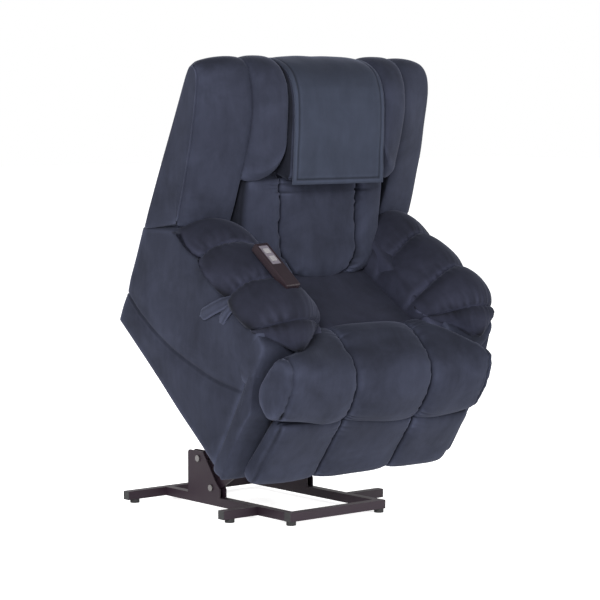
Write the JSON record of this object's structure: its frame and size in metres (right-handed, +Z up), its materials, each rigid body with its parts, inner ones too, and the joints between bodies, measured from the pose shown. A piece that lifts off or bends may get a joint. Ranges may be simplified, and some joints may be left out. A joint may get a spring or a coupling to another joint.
{
  "type": "lift recliner chair",
  "caption": "Powered lift recliner: floor base, lift linkage with actuator, upholstered seat, reclining back, folding footrest and handset.",
  "frame": {"origin": "middle of the floor area covered by the raised chair, on the floor under its feet", "axes": "+Z up, -Y the way the sitter faces, +X the sitter's left"},
  "size_m": [0.892, 0.886, 1.3071],
  "materials": {
    "velvet": "short-pile velvet",
    "headrest_velvet": "short-pile velvet cover",
    "black_paint": "satin black powder coat",
    "zinc": "bright zinc plate",
    "steel_paint": "black paint on pressed steel",
    "chrome_rod": "ground and plated",
    "actuator_aluminium": "cast, painted grey",
    "black_plastic": "moulded, fine texture",
    "foot_rubber": "matt",
    "plywood": "sawn plywood",
    "spring_steel": "oiled",
    "handset_plastic": "moulded, fine texture",
    "handset_insert": "smooth insert",
    "button_rubber": "soft key"
  },
  "bodies": {
    "base": {"base_side_tube_right": "black_paint", "base_side_tube_left": "black_paint", "base_front_tube": "black_paint", "base_rear_tube": "black_paint", "base_outriggers": "black_paint", "tube_end_caps": "black_plastic", "base_feet": "foot_rubber", "lift_tower_right": "black_paint", "lift_tower_left": "black_paint", "base_pivot_bolts": "zinc", "actuator_clevis": "black_paint"},
    "lift_arm": {"lift_arms": "black_paint", "chair_pins": "zinc", "lift_cross_tube": "black_paint"},
    "control_link": {"control_links": "steel_paint"},
    "actuator": {"actuator_rear_eye": "actuator_aluminium", "actuator_gearbox": "black_plastic", "actuator_motor": "actuator_aluminium", "actuator_outer_tube": "actuator_aluminium"},
    "actuator_push_rod": {"actuator_rod": "chrome_rod"},
    "seat_unit": {"mechanism_plates": "steel_paint", "control_link_brackets": "steel_paint", "mechanism_cross_tubes": "steel_paint", "actuator_bracket": "steel_paint", "arm_boards": "plywood", "seat_rails": "plywood", "seat_springs": "spring_steel", "power_supply": "black_plastic", "side_panel_right": "velvet", "side_panel_left": "velvet", "front_posts": "velvet", "rear_panel": "velvet", "side_pull": "velvet", "arm_pad_right": "velvet", "arm_pad_left": "velvet", "inner_arm_right": "velvet", "inner_arm_left": "velvet", "seat_cushion": "velvet", "seat_roll": "velvet", "back_hinge_plates": "steel_paint", "footrest_hangers": "steel_paint"},
    "backrest": {"back_outer_shell": "velvet", "back_wing_right": "velvet", "back_wing_left": "velvet", "upper_back_cushion": "velvet", "lumbar_cushion": "velvet", "back_frame": "plywood", "back_springs": "spring_steel", "headrest_cover": "headrest_velvet", "back_hinge_brackets": "steel_paint"},
    "footrest_first": {"footrest_first_links": "steel_paint"},
    "footrest_second": {"footrest_second_links": "steel_paint"},
    "footrest": {"footrest_lugs": "zinc", "footrest_board": "plywood", "footrest_pad": "velvet"},
    "handset": {"handset_case": "handset_plastic", "handset_panel": "handset_insert"},
    "raise_button": {"button_raise": "button_rubber"},
    "lower_button": {"button_lower": "button_rubber"}
  },
  "joints": [
    {"name": "chair_tilt", "type": "hinge", "parent": "lift_arm", "child": "seat_unit", "pos_m": [0, -0.09759, 0.2426], "axis": [1, 0, 0], "range_deg": [-71.85, 0]},
    {"name": "lift_arm_hinge", "type": "hinge", "parent": "base", "child": "lift_arm", "pos_m": [0, 0.19505, 0.062], "axis": [1, 0, 0], "range_deg": [0, 31.87]},
    {"name": "control_link_hinge", "type": "hinge", "parent": "base", "child": "control_link", "pos_m": [0, 0.25705, 0.142], "axis": [1, 0, 0], "range_deg": [0, 31.96]},
    {"name": "actuator_hinge", "type": "hinge", "parent": "base", "child": "actuator", "pos_m": [0, 0.39005, 0.06], "axis": [1, 0, 0], "range_deg": [0, 20.7]},
    {"name": "actuator_extend", "type": "slide", "parent": "actuator", "child": "actuator_push_rod", "axis": [0, -0.7645, 0.6446], "range_m": [-0.18904, 0]},
    {"name": "backrest_recline", "type": "hinge", "parent": "seat_unit", "child": "backrest", "pos_m": [0, 0.16157, 0.77988], "axis": [-1, 0, 0], "range_deg": [0, 30]},
    {"name": "footrest_extend", "type": "hinge", "parent": "seat_unit", "child": "footrest_first", "pos_m": [0, -0.19671, 0.33566], "axis": [-1, 0, 0], "range_deg": [0, 166.54]},
    {"name": "footrest_knee_hinge", "type": "hinge", "parent": "footrest_first", "child": "footrest_second", "pos_m": [0, -0.0692, 0.41394], "axis": [-1, 0, 0], "range_deg": [-121.74, 0]},
    {"name": "footrest_board_hinge", "type": "hinge", "parent": "footrest_second", "child": "footrest", "pos_m": [0, -0.23045, 0.24208], "axis": [-1, 0, 0], "range_deg": [0, 45.2]},
    {"name": "handset_lift_off", "type": "slide", "parent": "seat_unit", "child": "handset", "axis": [0, -0.6428, 0.766], "range_m": [0, 0.12]},
    {"name": "raise_button_press", "type": "slide", "parent": "handset", "child": "raise_button", "axis": [0, 0.6428, -0.766], "range_m": [0, 0.0015], "stiffness_N_per_m": 600, "springref_m": -0.0006},
    {"name": "lower_button_press", "type": "slide", "parent": "handset", "child": "lower_button", "axis": [0, 0.6428, -0.766], "range_m": [0, 0.0015], "stiffness_N_per_m": 600, "springref_m": -0.0006}
  ],
  "couplings": [
    {"joint": "lift_arm_hinge", "follows": "chair_tilt", "ratio": -0.44327},
    {"joint": "control_link_hinge", "follows": "chair_tilt", "ratio": -0.44459},
    {"joint": "actuator_hinge", "follows": "chair_tilt", "ratio": -0.28784},
    {"joint": "actuator_extend", "follows": "chair_tilt", "m_per_rad": 0.15059},
    {"joint": "footrest_knee_hinge", "follows": "footrest_extend", "ratio": -0.73086},
    {"joint": "footrest_board_hinge", "follows": "footrest_extend", "ratio": 0.27126}
  ]
}
